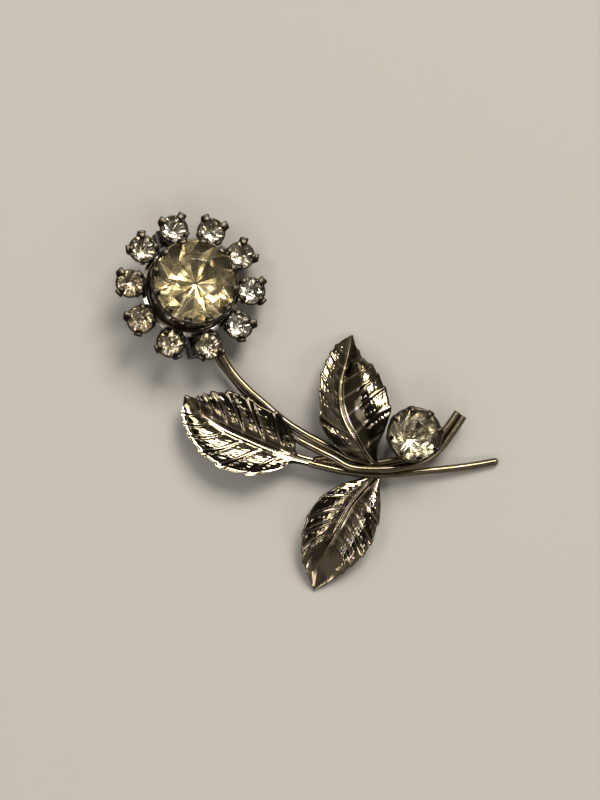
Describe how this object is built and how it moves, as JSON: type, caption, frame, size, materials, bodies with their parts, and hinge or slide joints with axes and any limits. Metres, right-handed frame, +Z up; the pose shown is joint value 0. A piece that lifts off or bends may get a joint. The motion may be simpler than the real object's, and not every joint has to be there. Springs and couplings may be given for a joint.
{
  "type": "flower brooch",
  "caption": "Flower brooch: a stone-set flower head on a wire stem with toothed, veined leaves and a stone-set bud, over a plain pin back.",
  "frame": {"origin": "centre of the brooch's box, on the surface that it lies on", "axes": "+Z up out of the surface, towards the face of the brooch; +Y towards the top of the flower head; +X along the stem, towards its free ends"},
  "size_m": [0.0468, 0.046, 0.01],
  "materials": {
    "gunmetal": "dark polished plating with a warm olive cast",
    "champagne_glass": "faceted and foiled behind",
    "clear_glass": "faceted and foiled behind"
  },
  "bodies": {
    "root": {"leaf_spray": "gunmetal", "flower_mount": "gunmetal", "pin_back": "gunmetal", "centre_stone": "champagne_glass", "bud_stone": "clear_glass", "petal_stone_1": "clear_glass", "petal_stone_2": "clear_glass", "petal_stone_3": "clear_glass", "petal_stone_4": "clear_glass", "petal_stone_5": "clear_glass", "petal_stone_6": "clear_glass", "petal_stone_7": "clear_glass", "petal_stone_8": "clear_glass", "petal_stone_9": "clear_glass", "petal_stone_10": "clear_glass"}
  },
  "joints": []
}
